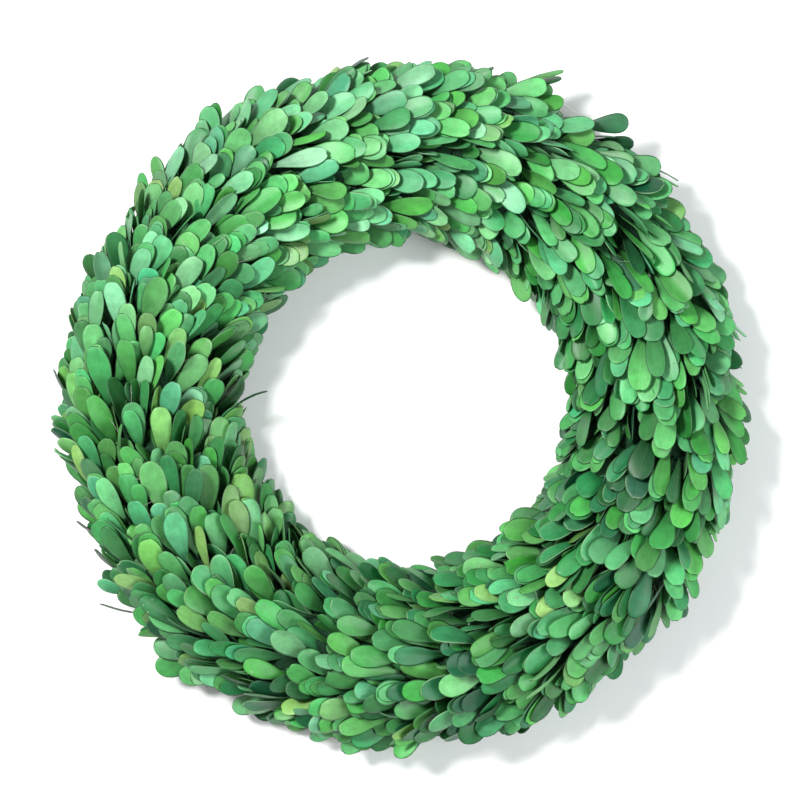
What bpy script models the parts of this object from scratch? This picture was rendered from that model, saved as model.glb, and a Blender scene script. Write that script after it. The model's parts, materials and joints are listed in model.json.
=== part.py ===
"""A wreath of preserved boxwood leaves, lying on its flat back, face up.

A ring of bound straw carries three bands of leaf bunches: one round the outside, one on the
front and one round the inside of the hole. Each bunch is a thin mat of glued leaf bases with
spoon-shaped leaves standing out of it. All leaves point clockwise and lie like shingles,
fanning outward on the outside of the ring and inward on the inside.
Metres, +Z up, origin on the surface below the middle of the hole.
"""

import math
import random

import bpy
from mathutils import Vector
from mathutils.bvhtree import BVHTree

# Straw ring: a D-shaped section with a flat back, turned round the hole.
RING_RADIUS = 0.130
STRAW_HALF_WIDTH = 0.030
STRAW_TOP = 0.050
STRAW_WAIST = 0.023
BACK_CORNER_DEG = -58.0
COLUMNS = 32
SECTION_DEG = (BACK_CORNER_DEG, -30, 5, 45, 75, 105, 135, 175, 210, 180 - BACK_CORNER_DEG)

# Leaf mats: the layer of glued leaf bases that lies on the straw.
SEAT_GAP = 0.0003
MAT_TOP = 0.006
MAT_EDGE_GAP = 0.0004
SECTORS = 16
SECTOR_DEG = 360 / SECTORS

# Leaves, drawn larger than life so that this many still cover the ring.
LEAF_LENGTH = 0.038
LEAF_WIDTH = 0.0215
LEAF_THICKNESS = 0.0009
LEAF_SINK = 0.0026
LEAF_TILT_DEG = 26.5
TIP_DROOP = 0.0022
# Stations along a leaf: share of its length, and share of its width there.
LEAF_STATIONS = ((0.0, 0.28), (0.64, 1.0), (0.89, 0.68))
# Faces over the outline points: root, belly and shoulder on each side, with the tip between.
LEAF_FACES = ((0, 6, 5, 1), (1, 5, 4, 2), (2, 4, 3))
LOWEST_LEAF = 0.0012
NARROWEST_HOLE = 0.0765

# Leaves point along the ring here, and turn off it to either side, less near the back.
STRAIGHT_AT_DEG = 105.0
SPLAY_PER_DEG = 0.27
LEAST_SPLAY_SHARE = 0.35

# Lanes of leaves across the section, and how far along its pitch each lane starts.
FIRST_LANE_DEG = -8.0
LANE_STEP_DEG = 22.0
LANE_PHASES = (0.36, 0.86)

# How far a leaf may stray from its place, and the room that it must leave round it.
TURN_STRAY_DEG = 0.6
SECTION_STRAY_DEG = 2.5
SPLAY_STRAY_DEG = 8.0
ROLL_STRAY_DEG = 9.0
SIZES = (0.94, 1.06)
SHRINK = 0.16
CLEARANCE = 0.00035
TRIES = 40
SEED = 14

# Name, section corners it spans, its lanes, leaves of a lane in each sector, sector offset.
BANDS = (
    ("outer_bunch", (1, 2, 3), range(0, 3), 4, 0.0),
    ("front_bunch", (3, 4, 5, 6), range(3, 7), 3, SECTOR_DEG / 2),
    ("inner_bunch", (6, 7, 8), range(7, 10), 2, 0.0),
)

STRAW_COLOUR = (0.480, 0.340, 0.140)
GREENS = {
    "leaf_green": (0.055, 0.250, 0.095),
    "leaf_light_green": (0.115, 0.400, 0.150),
    "leaf_deep_green": (0.025, 0.150, 0.062),
}
# The bunches take these greens one after the other round the ring.
GREENS_IN_TURN = ("leaf_green", "leaf_light_green", "leaf_green", "leaf_deep_green", "leaf_green")


def clear_scene():
    for obj in list(bpy.data.objects):
        bpy.data.objects.remove(obj, do_unlink=True)


def make_material(name, colour, roughness):
    made = bpy.data.materials.new(name)
    made.use_nodes = True
    shader = made.node_tree.nodes["Principled BSDF"]
    shader.inputs["Base Color"].default_value = (*colour, 1.0)
    shader.inputs["Roughness"].default_value = roughness
    shader.inputs["Metallic"].default_value = 0.0
    return made


def make_straw():
    return make_material("straw", STRAW_COLOUR, 0.85)


def make_greens():
    return {name: make_material(name, colour, 0.5) for name, colour in GREENS.items()}


def add_object(name, points, faces, material=None):
    mesh = bpy.data.meshes.new(name)
    mesh.from_pydata(points, [], faces)
    mesh.update()
    obj = bpy.data.objects.new(name, mesh)
    bpy.context.scene.collection.objects.link(obj)
    if material:
        mesh.materials.append(material)
    return obj


def half_height(section_deg, lift):
    """The section's half height on this side of its waist, grown outwards by lift."""
    above = STRAW_TOP - STRAW_WAIST
    below = STRAW_WAIST / math.sin(math.radians(-BACK_CORNER_DEG))
    return (above if math.sin(math.radians(section_deg)) > 0 else below) + lift


def ring_point(turn_deg, section_deg, lift=0.0):
    """A point of the ring: turn is clockwise from +Y, section 0 faces out and 90 faces up."""
    turn = math.radians(turn_deg)
    section = math.radians(section_deg)
    radius = RING_RADIUS + (STRAW_HALF_WIDTH + lift) * math.cos(section)
    height = STRAW_WAIST + half_height(section_deg, lift) * math.sin(section)
    return Vector((radius * math.sin(turn), radius * math.cos(turn), max(height, 0.0)))


def ring_normal(turn_deg, section_deg, lift):
    """The outward normal at a point of the ring."""
    turn = math.radians(turn_deg)
    section = math.radians(section_deg)
    outward = Vector((math.sin(turn), math.cos(turn), 0.0))
    up = Vector((0.0, 0.0, 1.0))
    wide = STRAW_HALF_WIDTH + lift
    high = half_height(section_deg, lift)
    return (outward * (math.cos(section) / wide) + up * (math.sin(section) / high)).normalized()


def section_reach(section_deg, lift):
    """Length across the section for each radian of section angle, at this lift."""
    section = math.radians(section_deg)
    wide = (STRAW_HALF_WIDTH + lift) * math.sin(section)
    high = half_height(section_deg, lift) * math.cos(section)
    return math.hypot(wide, high)


def straw_ring():
    """The base: a closed ring of faceted sections."""
    points = []
    for column in range(COLUMNS):
        points += [ring_point(column * 360 / COLUMNS, section) for section in SECTION_DEG]
    count = len(SECTION_DEG)
    faces = []
    for column in range(COLUMNS):
        here = column * count
        there = (column + 1) % COLUMNS * count
        for i in range(count):
            j = (i + 1) % count
            faces.append((here + i, here + j, there + j, there + i))
    return points, faces


def slab(bottom, top):
    """Points and faces of a closed slab between two like grids of points."""
    rows = len(bottom)
    cols = len(bottom[0])
    points = [p for grid in (bottom, top) for row in grid for p in row]

    def at(layer, i, j):
        return layer * rows * cols + i * cols + j

    faces = []
    for i in range(rows - 1):
        for j in range(cols - 1):
            faces.append((at(1, i, j), at(1, i, j + 1), at(1, i + 1, j + 1), at(1, i + 1, j)))
            faces.append((at(0, i, j), at(0, i + 1, j), at(0, i + 1, j + 1), at(0, i, j + 1)))
    last = cols - 1
    for i in range(rows - 1):
        faces.append((at(0, i, 0), at(1, i, 0), at(1, i + 1, 0), at(0, i + 1, 0)))
        faces.append((at(0, i, last), at(0, i + 1, last), at(1, i + 1, last), at(1, i, last)))
    last = rows - 1
    for j in range(cols - 1):
        faces.append((at(0, 0, j), at(0, 0, j + 1), at(1, 0, j + 1), at(1, 0, j)))
        faces.append((at(0, last, j), at(1, last, j), at(1, last, j + 1), at(0, last, j + 1)))
    return points, faces


def mat_layer(start_deg, sections, lift):
    """A grid over one sector of the ring's facets, held in a little from the sector's sides."""
    turns = (start_deg, start_deg + SECTOR_DEG / 2, start_deg + SECTOR_DEG)
    grid = [[ring_point(turn, section, lift) for section in sections] for turn in turns]
    for row in grid:
        for end, beside in ((0, 1), (-1, -2)):
            row[end] = row[end] + (row[beside] - row[end]).normalized() * MAT_EDGE_GAP
    share = MAT_EDGE_GAP / (grid[1][0] - grid[0][0]).length
    first = [a.lerp(b, share) for a, b in zip(grid[0], grid[1])]
    last = [a.lerp(b, share) for a, b in zip(grid[2], grid[1])]
    return [first, grid[1], last]


def leaf_mat(start_deg, corners):
    """The mat of one sector: it lies just off the straw's facets and follows them."""
    sections = [SECTION_DEG[i] for i in corners]
    under = mat_layer(start_deg, sections, SEAT_GAP)
    return slab(under, mat_layer(start_deg, sections, MAT_TOP))


def leaf_spine(turn_deg, section_deg, splay, length):
    """The leaf's middle line, root to tip: it climbs off the mat while it follows the ring."""
    climb = math.tan(math.radians(LEAF_TILT_DEG))
    spine = []
    for share in [station[0] for station in LEAF_STATIONS] + [1.0]:
        run = share * length - LEAF_SINK / climb
        lift = MAT_TOP + climb * run - TIP_DROOP * share**3
        radius = RING_RADIUS + (STRAW_HALF_WIDTH + lift) * math.cos(math.radians(section_deg))
        turn = turn_deg + math.degrees(run * math.cos(splay) / radius)
        reach = section_reach(section_deg, lift)
        section = section_deg - math.degrees(run * math.sin(splay) / reach)
        spine.append(ring_point(turn, section, lift))
    return spine


def leaf(turn_deg, section_deg, splay, roll, size, grow=0.0):
    """Points and faces of one leaf. grow thickens it all round, to test for clearance."""
    spine = leaf_spine(turn_deg, section_deg, splay, LEAF_LENGTH * size + grow)
    heading = (spine[-1] - spine[0]).normalized()
    level = heading.cross(ring_normal(turn_deg, section_deg, MAT_TOP)).normalized()
    rise = level.cross(heading)
    side = level * math.cos(roll) + rise * math.sin(roll)
    up = rise * math.cos(roll) - level * math.sin(roll)
    left = []
    right = []
    for (_, wide), middle in zip(LEAF_STATIONS, spine):
        half_width = wide * LEAF_WIDTH * size / 2 + grow
        left.append(middle - side * half_width)
        right.append(middle + side * half_width)
    outline = left + [spine[-1]] + right[::-1]
    half = LEAF_THICKNESS / 2 + grow
    points = [p + up * half for p in outline] + [p - up * half for p in outline]
    count = len(outline)
    faces = list(LEAF_FACES)
    faces += [tuple(i + count for i in reversed(face)) for face in LEAF_FACES]
    faces += [(i, (i + 1) % count, (i + 1) % count + count, i + count) for i in range(count)]
    return points, faces


def splay_at(section_deg):
    """How far a leaf turns off the ring's direction: outward outside, inward inside."""
    height = max(math.sin(math.radians(section_deg)), 0.0)
    share = LEAST_SPLAY_SHARE + (1 - LEAST_SPLAY_SHARE) * height
    return math.radians(SPLAY_PER_DEG * (STRAIGHT_AT_DEG - section_deg) * share)


def obstacle(points, faces, owner=None):
    """A shape to keep clear of, with a ball round it for a quick first test."""
    centre = sum(points, Vector()) / len(points)
    reach = max((p - centre).length for p in points)
    tree = BVHTree.FromPolygons(points, faces)
    return {"centre": centre, "reach": reach, "tree": tree, "owner": owner}


def clear_of(one, others):
    for other in others:
        apart = (one["centre"] - other["centre"]).length
        if apart < one["reach"] + other["reach"] and one["tree"].overlap(other["tree"]):
            return False
    return True


def stray(draw, most):
    return draw.uniform(-most, most)


def grow_leaf(turn_deg, section_deg, draw, obstacles):
    """The first drawn leaf at this place that keeps clear of everything near it, or None."""
    for attempt in range(TRIES):
        calm = 1.0 - attempt / TRIES
        turn = turn_deg + stray(draw, TURN_STRAY_DEG)
        section = section_deg + stray(draw, SECTION_STRAY_DEG)
        splay = splay_at(section) + math.radians(stray(draw, SPLAY_STRAY_DEG) * calm)
        roll = math.radians(stray(draw, ROLL_STRAY_DEG) * calm)
        size = draw.uniform(*SIZES) - SHRINK * (1.0 - calm)
        points, faces = leaf(turn, section, splay, roll, size)
        lowest = min(p.z for p in points)
        nearest = min(math.hypot(p.x, p.y) for p in points)
        if lowest < LOWEST_LEAF or nearest < NARROWEST_HOLE:
            continue
        if clear_of(obstacle(*leaf(turn, section, splay, roll, size, CLEARANCE)), obstacles):
            return points, faces
    return None


def leaf_places(start_deg, lanes, per_lane):
    """(turn, section) of each leaf of one bunch, in staggered rows."""
    for lane in lanes:
        for row in range(per_lane):
            along = (row + LANE_PHASES[lane % 2]) * SECTOR_DEG / per_lane
            yield start_deg + along, FIRST_LANE_DEG + LANE_STEP_DEG * lane


def plan_bunches():
    """Every bunch with its mat and the places of its leaves, before any leaf has grown."""
    bunches = []
    for band, corners, lanes, per_lane, offset in BANDS:
        for sector in range(SECTORS):
            start = sector * SECTOR_DEG + offset
            bunch = {
                "name": f"{band}_{sector + 1:02d}",
                "mat": leaf_mat(start, corners),
                "places": list(leaf_places(start, lanes, per_lane)),
                "leaves": [],
            }
            bunches.append(bunch)
    return bunches


def grow_leaves(bunches, ring):
    """Grows each bunch's leaves in turn, clear of the ring and of all that stands already."""
    draw = random.Random(SEED)
    standing = [obstacle(*ring)] + [obstacle(*b["mat"], b["name"]) for b in bunches]
    for bunch in bunches:
        near = [o for o in standing if o["owner"] != bunch["name"]]
        for turn, section in bunch["places"]:
            grown = grow_leaf(turn, section, draw, near)
            if grown:
                bunch["leaves"].append(grown)
                near.append(obstacle(*grown))
                standing.append(near[-1])


def fuse(bunch, material):
    """One solid: the mat with its leaves, joined by a Boolean union on a collection."""
    base = add_object(bunch["name"], *bunch["mat"], material)
    group = bpy.data.collections.new("leaves")
    bpy.context.scene.collection.children.link(group)
    for points, faces in bunch["leaves"]:
        blade = add_object("leaf", points, faces)
        bpy.context.scene.collection.objects.unlink(blade)
        group.objects.link(blade)
    union = base.modifiers.new("union", "BOOLEAN")
    union.operation = "UNION"
    union.operand_type = "COLLECTION"
    union.collection = group
    graph = bpy.context.evaluated_depsgraph_get()
    joined = bpy.data.meshes.new_from_object(base.evaluated_get(graph))
    base.modifiers.clear()
    base.data = joined
    for blade in list(group.objects):
        bpy.data.objects.remove(blade, do_unlink=True)
    bpy.data.collections.remove(group)


def build_wreath():
    clear_scene()
    ring = straw_ring()
    add_object("straw_ring", *ring, make_straw())
    bunches = plan_bunches()
    grow_leaves(bunches, ring)
    greens = make_greens()
    for number, bunch in enumerate(bunches):
        fuse(bunch, greens[GREENS_IN_TURN[number % len(GREENS_IN_TURN)]])
    places = sum(len(bunch["places"]) for bunch in bunches)
    print(sum(len(bunch["leaves"]) for bunch in bunches), "leaves stand in", places, "places")


build_wreath()
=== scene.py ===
# %% [markdown]
# # A wreath of preserved boxwood leaves
# The real wreath is a ring of bound straw. A maker glues small boxwood leaves to it one by one,
# in short stacks, until nothing of the straw shows from the front. The leaves were preserved
# with glycerine and dyed, so they stay bendable and keep a satin shine. All tips point
# clockwise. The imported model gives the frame: the straw ring and 48 coarse leaf bunches. Here
# each bunch is replaced by finer, thinner leaves of real size.

# %% Load the frame
import json
import math
import random

import bpy
import numpy as np
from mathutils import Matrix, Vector, noise
from mathutils.bvhtree import BVHTree

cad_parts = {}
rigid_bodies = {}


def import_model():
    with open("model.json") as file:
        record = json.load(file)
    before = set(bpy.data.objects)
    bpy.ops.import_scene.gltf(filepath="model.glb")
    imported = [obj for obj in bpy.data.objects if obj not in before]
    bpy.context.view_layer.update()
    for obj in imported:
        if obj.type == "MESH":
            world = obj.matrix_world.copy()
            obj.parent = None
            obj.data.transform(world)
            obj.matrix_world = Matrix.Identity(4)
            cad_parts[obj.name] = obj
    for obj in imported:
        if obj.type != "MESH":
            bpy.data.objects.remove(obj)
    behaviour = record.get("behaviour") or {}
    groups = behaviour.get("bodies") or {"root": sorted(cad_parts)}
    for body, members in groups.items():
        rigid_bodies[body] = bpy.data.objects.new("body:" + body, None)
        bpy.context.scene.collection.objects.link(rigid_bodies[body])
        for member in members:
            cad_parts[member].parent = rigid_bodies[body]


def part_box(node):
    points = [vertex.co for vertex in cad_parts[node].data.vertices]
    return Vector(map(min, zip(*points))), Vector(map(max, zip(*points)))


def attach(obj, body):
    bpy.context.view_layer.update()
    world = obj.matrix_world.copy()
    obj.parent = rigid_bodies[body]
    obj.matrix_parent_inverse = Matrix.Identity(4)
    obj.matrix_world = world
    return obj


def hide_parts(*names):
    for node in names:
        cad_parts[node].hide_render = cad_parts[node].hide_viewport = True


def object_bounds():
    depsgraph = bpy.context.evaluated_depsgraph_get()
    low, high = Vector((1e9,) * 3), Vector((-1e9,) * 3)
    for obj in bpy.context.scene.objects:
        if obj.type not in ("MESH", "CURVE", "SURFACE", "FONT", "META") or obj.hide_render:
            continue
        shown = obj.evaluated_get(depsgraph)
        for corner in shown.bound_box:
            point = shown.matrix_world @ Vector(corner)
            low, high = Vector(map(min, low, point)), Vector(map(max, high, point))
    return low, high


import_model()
cad_low, cad_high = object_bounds()
MM = 0.001
print("CAD box in mm:", [round((h - l) / MM, 1) for l, h in zip(cad_low, cad_high)])

# %% [markdown]
# ## The ring that everything follows
# A wreath is easiest to build in its own coordinates: how far round the ring a thing sits, how
# far round the ring's section, and how high above the straw. A leaf is then placed by three
# numbers, and one function turns them into a point in space. The back of the section is flat
# below its two corners, where the wreath lies on the table.

# %% Ring coordinates
RING_RADIUS = 130 * MM
STRAW_HALF_WIDTH = 30 * MM
STRAW_TOP = 50 * MM
STRAW_WAIST = 23 * MM
BACK_CORNER = math.radians(58)
BELOW_WAIST = STRAW_WAIST / math.sin(BACK_CORNER)
UP = Vector((0, 0, 1))


def half_height(section, lift):
    """Height of the section above its waist, or below it, with this lift added."""
    above = STRAW_TOP - STRAW_WAIST
    return (above if math.sin(section) > 0 else BELOW_WAIST) + lift


def ring_point(turn, section, lift):
    """turn is clockwise from +Y, section 0 faces out and a right angle faces up, in radians."""
    radius = RING_RADIUS + (STRAW_HALF_WIDTH + lift) * math.cos(section)
    height = STRAW_WAIST + half_height(section, lift) * math.sin(section)
    height = max(height, -min(lift, 0.0))
    return Vector((radius * math.sin(turn), radius * math.cos(turn), height))


def ring_axes(turn, section, lift):
    """The direction along the ring, and the one straight out of it, at a point of the ring."""
    away = Vector((math.sin(turn), math.cos(turn), 0.0))
    along = Vector((math.cos(turn), -math.sin(turn), 0.0))
    wide = STRAW_HALF_WIDTH + lift
    high = half_height(section, lift)
    normal = away * (math.cos(section) / wide) + UP * (math.sin(section) / high)
    return along, normal.normalized()


_, straw_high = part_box("straw_ring")
print("straw ring in mm, the CAD's and this one's half width:",
      round(straw_high.y / MM, 1), (RING_RADIUS + STRAW_HALF_WIDTH) / MM)

# %% [markdown]
# ## The photo's pixels
# The photo looks straight down. Its leaves give the scale, and the middle of its outline gives
# the place. With the camera's height fixed, a pixel and a height are a point in space, which
# places the few stray leaves and glue strings that the eye would miss.

# %% From pixels to the wreath
IMAGE_SIDE = 800
MM_PER_PIXEL = 0.52 * MM
OUTLINE_MIDDLE = (401.5, 405.3)
SILHOUETTE_HEIGHT = 28 * MM
CAMERA_DISTANCE = 1.45
CAMERA_PLACE = Vector((
    (IMAGE_SIDE / 2 - OUTLINE_MIDDLE[0]) * MM_PER_PIXEL,
    (OUTLINE_MIDDLE[1] - IMAGE_SIDE / 2) * MM_PER_PIXEL,
    CAMERA_DISTANCE + SILHOUETTE_HEIGHT,
))


def at_pixel(pixel, height):
    """The point at this height above the table that the photo shows at this pixel."""
    size = MM_PER_PIXEL * (CAMERA_PLACE.z - height) / CAMERA_DISTANCE
    x = CAMERA_PLACE.x + (pixel[0] - IMAGE_SIDE / 2) * size
    y = CAMERA_PLACE.y - (pixel[1] - IMAGE_SIDE / 2) * size
    return Vector((x, y, height))


print("middle of the photo in mm:", [round(v / MM, 1) for v in at_pixel((400, 400), 0.0)])

# %% [markdown]
# ## Colours and nodes
# Colours are written as sRGB hex, as a colour picker shows them. Blender works in linear light,
# so one function converts them. A second small function adds a shader node, sets it and links
# it, so that each material below reads as a list of what its surface does.

# %% Colour and node helpers


def linear(hex_colour):
    """The linear RGBA of an sRGB hex colour."""
    channels = [int(hex_colour[i:i + 2], 16) / 255 for i in (1, 3, 5)]
    curved = [c / 12.92 if c <= 0.04045 else ((c + 0.055) / 1.055) ** 2.4 for c in channels]
    return (*curved, 1.0)


def add_node(tree, kind, settings=None, links=None):
    """Adds a node. settings are attributes, or input values by name; links are input: socket."""
    node = tree.nodes.new(kind)
    for name, value in (settings or {}).items():
        if isinstance(name, int) or name in node.inputs:
            node.inputs[name].default_value = value
        else:
            setattr(node, name, value)
    for name, socket in (links or {}).items():
        tree.links.new(socket, node.inputs[name])
    return node


# A Mix node keeps sockets for every data type; these are the places of its colour ones.
MIX_A, MIX_B, MIX_COLOUR = 6, 7, 2


def new_material(name):
    """An empty node material, and its tree."""
    made = bpy.data.materials.new(name)
    made.use_nodes = True
    made.node_tree.nodes.clear()
    return made, made.node_tree


def set_ramp(node, stops):
    """Gives a colour ramp its stops, each a place and a linear colour."""
    ramp = node.color_ramp
    while len(ramp.elements) < len(stops):
        ramp.elements.new(0.5)
    for element, (place, colour) in zip(ramp.elements, stops):
        element.position = place
        element.color = colour
    return node


print("a mid green in linear light:", [round(c, 3) for c in linear("#529F59")])

# %% [markdown]
# ## Preserved boxwood leaf, dyed, satin
# Boxwood leaves keep a waxy skin. After the glycerine bath and the dye they have a soft broad
# shine, a thin rim that dried dark on most leaves, a faint midrib and fine side veins, and a
# paler back. The dark rim is also painted shade, the dark gap beside each edge, and the pale rim
# on a few leaves is a painted highlight. Each leaf is painted darker at its base as shade and
# lighter toward its tip as light. No two leaves took the dye alike. A material for each leaf would
# be thousands of them, so each leaf carries its own tint as a mesh attribute, and one material
# looks its colour up in a row of greens.

# %% Greens and scales of a leaf
# The first number is a leaf's hue: plain greens up to PLAIN_GREENS, yellow ones beyond it.
LEAF_GREENS = (
    (0.00, "#0F4B29"),
    (0.08, "#1D6034"),
    (0.20, "#30723F"),
    (0.36, "#428D4D"),
    (0.50, "#529F59"),
    (0.60, "#489767"),
    (0.69, "#64AD72"),
    (0.78, "#72B282"),
    (0.84, "#4F8146"),
    (0.90, "#5B9C52"),
    (0.96, "#70A85C"),
    (1.00, "#80B266"),
)
PLAIN_GREENS = 0.80
MIDRIB_GREEN = "#9CCB8E"
BACK_GREEN = "#8DB088"
# Rim greens: the two dark ones are the dried cut edge and painted shade of the gap beside it, the pale
# one a painted highlight on a few leaves.
RIM_GREENS_DRY_AND_PAINTED = ((0.00, "#0F2B19"), (0.90, "#1C4427"), (0.96, "#8FB384"))
DYE_PATCH = 5.5 * MM
FIBRE_LENGTH = 7 * MM
MIDRIB_WIDTH = 0.5 * MM
# Painted shade darkens a leaf's base, where it slips under the leaves before it, and gives way to
# painted light toward the tip.
SHADED_BASE = (3 * MM, 26 * MM)
# Side veins, fibres and the grain of the wax are finer on a real leaf than half a millimetre,
# which is one pixel here, so these three are drawn as coarse as they need to show.
VEIN_SPACING = 1.3 * MM
FIBRE_WIDTH = 0.45 * MM
WAX_GRAIN = 0.7 * MM
print("greens of the leaves:", len(LEAF_GREENS), "from", LEAF_GREENS[0][1], "to", LEAF_GREENS[-1][1])

# %% What the mesh tells the leaf material


def read_leaf(tree):
    """Sockets with the tint that a leaf carries, and with the place on it."""
    tint = add_node(tree, "ShaderNodeAttribute", {"attribute_name": "leaf_tint"})
    pick = add_node(tree, "ShaderNodeSeparateColor", links={"Color": tint.outputs["Color"]})
    place = add_node(tree, "ShaderNodeAttribute", {"attribute_name": "leaf_place"})
    where = add_node(tree, "ShaderNodeSeparateXYZ", links={"Vector": place.outputs["Vector"]})
    trim = add_node(tree, "ShaderNodeAttribute", {"attribute_name": "leaf_trim"})
    side = add_node(tree, "ShaderNodeSeparateColor", links={"Color": trim.outputs["Color"]})
    across = add_node(
        tree, "ShaderNodeMath", {"operation": "ABSOLUTE"}, {0: where.outputs["X"]},
    )
    midrib = add_node(
        tree, "ShaderNodeMapRange",
        {"From Min": 0.0, "From Max": MIDRIB_WIDTH, "To Min": 1.0, "To Max": 0.0},
        {"Value": across.outputs["Value"]},
    )
    object_space = add_node(tree, "ShaderNodeTexCoord")
    patch = add_node(
        tree, "ShaderNodeTexNoise",
        {"Scale": 1 / DYE_PATCH, "Detail": 3.0, "Roughness": 0.6},
        {"Vector": object_space.outputs["Object"]},
    )
    return {
        "tint": tint.outputs["Color"],
        "hue": pick.outputs["Red"],
        "depth": pick.outputs["Green"],
        "cast": pick.outputs["Blue"],
        "strength": tint.outputs["Alpha"],
        "place": place.outputs["Vector"],
        "along": where.outputs["Y"],
        "across": across.outputs["Value"],
        "midrib": midrib.outputs["Result"],
        "rim": side.outputs["Red"],
        "back": side.outputs["Green"],
        "space": object_space.outputs["Object"],
        "patch": patch.outputs["Fac"],
    }


print("each leaf tells the material its tint, its place and its trim")

# %% The dyed skin, with painted shade and light
FIBRE_SHARE = 0.45
# These factors of the tint move each leaf to its own part of the fibres' noise.
OWN_FIBRES = (61.0, 37.0, 23.0)


def dye_tone_and_painted_light(tree, leaf):
    """Patches and fibres of the dye, the leaf's depth with its painted light and shade, and painted
    shade at the base that gives way to painted light toward the tip.
    """
    along_fibres = add_node(
        tree, "ShaderNodeVectorMath",
        {"operation": "MULTIPLY", 1: (1 / FIBRE_WIDTH, 1 / FIBRE_LENGTH, 1.0)},
        {0: leaf["place"]},
    )
    own_fibres = add_node(
        tree, "ShaderNodeVectorMath", {"operation": "MULTIPLY_ADD", 1: OWN_FIBRES},
        {0: leaf["tint"], 2: along_fibres.outputs["Vector"]},
    )
    fibres = add_node(
        tree, "ShaderNodeTexNoise", {"Scale": 1.0, "Detail": 2.0, "Roughness": 0.5},
        {"Vector": own_fibres.outputs["Vector"]},
    )
    blotch_and_fibre = add_node(
        tree, "ShaderNodeMath", {"operation": "MULTIPLY_ADD", 1: FIBRE_SHARE},
        {0: fibres.outputs["Fac"], 2: leaf["patch"]},
    )
    uneven = add_node(
        tree, "ShaderNodeMapRange",
        {"From Min": 0.50, "From Max": 0.95, "To Min": 0.79, "To Max": 1.20},
        {"Value": blotch_and_fibre.outputs["Value"]},
    )
    # The tint's depth holds the dye's own depth and the painted light and shade that each leaf is
    # given round the ring.
    depth = add_node(
        tree, "ShaderNodeMapRange", {"To Min": 0.60, "To Max": 1.27}, {"Value": leaf["depth"]},
    )
    # Painted shade at the base, where the leaf slips under others, and painted light toward the tip.
    painted_base_shade_tip_light = add_node(
        tree, "ShaderNodeMapRange",
        {"From Min": SHADED_BASE[0], "From Max": SHADED_BASE[1], "To Min": 0.42, "To Max": 1.17},
        {"Value": leaf["along"]},
    )
    both = add_node(
        tree, "ShaderNodeMath", {"operation": "MULTIPLY"},
        {0: uneven.outputs["Result"], 1: depth.outputs["Result"]},
    )
    shade = add_node(
        tree, "ShaderNodeMath", {"operation": "MULTIPLY"},
        {0: both.outputs["Value"], 1: painted_base_shade_tip_light.outputs["Result"]},
    )
    return shade.outputs["Value"]


def dyed_skin(tree, leaf):
    """The green that the leaf picked, with its tone and its painted light and shade, its cast and
    strength.
    """
    dye = set_ramp(
        add_node(tree, "ShaderNodeValToRGB", links={"Fac": leaf["hue"]}),
        [(at, linear(green)) for at, green in LEAF_GREENS],
    )
    cast = add_node(
        tree, "ShaderNodeMapRange", {"To Min": 0.476, "To Max": 0.518}, {"Value": leaf["cast"]},
    )
    strength = add_node(
        tree, "ShaderNodeMapRange", {"To Min": 0.96, "To Max": 1.12}, {"Value": leaf["strength"]},
    )
    dyed = add_node(
        tree, "ShaderNodeHueSaturation",
        links={
            "Color": dye.outputs["Color"],
            "Saturation": strength.outputs["Result"],
            "Value": dye_tone_and_painted_light(tree, leaf),
            "Hue": cast.outputs["Result"],
        },
    )
    return dyed.outputs["Color"]


print("share of the fibres beside the dye's patches:", FIBRE_SHARE)

# %% Midrib, paler back and rim
MIDRIB_SHARE = 0.03
BACK_SHARE = 0.18
RIM_SHARE = 0.90
RIM_NARROWNESS = 1.2


def trimmed_skin(tree, leaf, skin):
    """The skin with a faint midrib, a paler back, and a rim of dried edge and painted shade, painted
    pale on a few leaves as a highlight.
    """
    rib_share = add_node(
        tree, "ShaderNodeMath", {"operation": "MULTIPLY", 1: MIDRIB_SHARE}, {0: leaf["midrib"]},
    )
    ribbed = add_node(
        tree, "ShaderNodeMix", {"data_type": "RGBA", MIX_B: linear(MIDRIB_GREEN)},
        {"Factor": rib_share.outputs["Value"], MIX_A: skin},
    )
    back_share = add_node(
        tree, "ShaderNodeMath", {"operation": "MULTIPLY", 1: BACK_SHARE}, {0: leaf["back"]},
    )
    backed = add_node(
        tree, "ShaderNodeMix", {"data_type": "RGBA", MIX_B: linear(BACK_GREEN)},
        {"Factor": back_share.outputs["Value"], MIX_A: ribbed.outputs[MIX_COLOUR]},
    )
    # The rim is painted dark as dried edge and as the shade of the gap beside it, and pale on a few
    # leaves as a painted highlight.
    rim_dry_shade_and_glint = set_ramp(
        add_node(tree, "ShaderNodeValToRGB", links={"Fac": leaf["cast"]}),
        [(at, linear(green)) for at, green in RIM_GREENS_DRY_AND_PAINTED],
    )
    rim_narrow = add_node(
        tree, "ShaderNodeMath", {"operation": "POWER", 1: RIM_NARROWNESS}, {0: leaf["rim"]},
    )
    rim_share = add_node(
        tree, "ShaderNodeMath", {"operation": "MULTIPLY", 1: RIM_SHARE},
        {0: rim_narrow.outputs["Value"]},
    )
    rimmed = add_node(
        tree, "ShaderNodeMix", {"data_type": "RGBA"},
        {
            "Factor": rim_share.outputs["Value"],
            MIX_A: backed.outputs[MIX_COLOUR],
            MIX_B: rim_dry_shade_and_glint.outputs["Color"],
        },
    )
    return rimmed.outputs[MIX_COLOUR]


print("share of midrib, back and rim colour:", MIDRIB_SHARE, BACK_SHARE, RIM_SHARE)

# %% Veins, midrib and wax in relief
VEIN_SLANT = -0.9
VEIN_HEIGHT = 0.12 * MM
MIDRIB_DEPTH = 0.2 * MM
WAX_HEIGHT = 0.10 * MM


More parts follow.
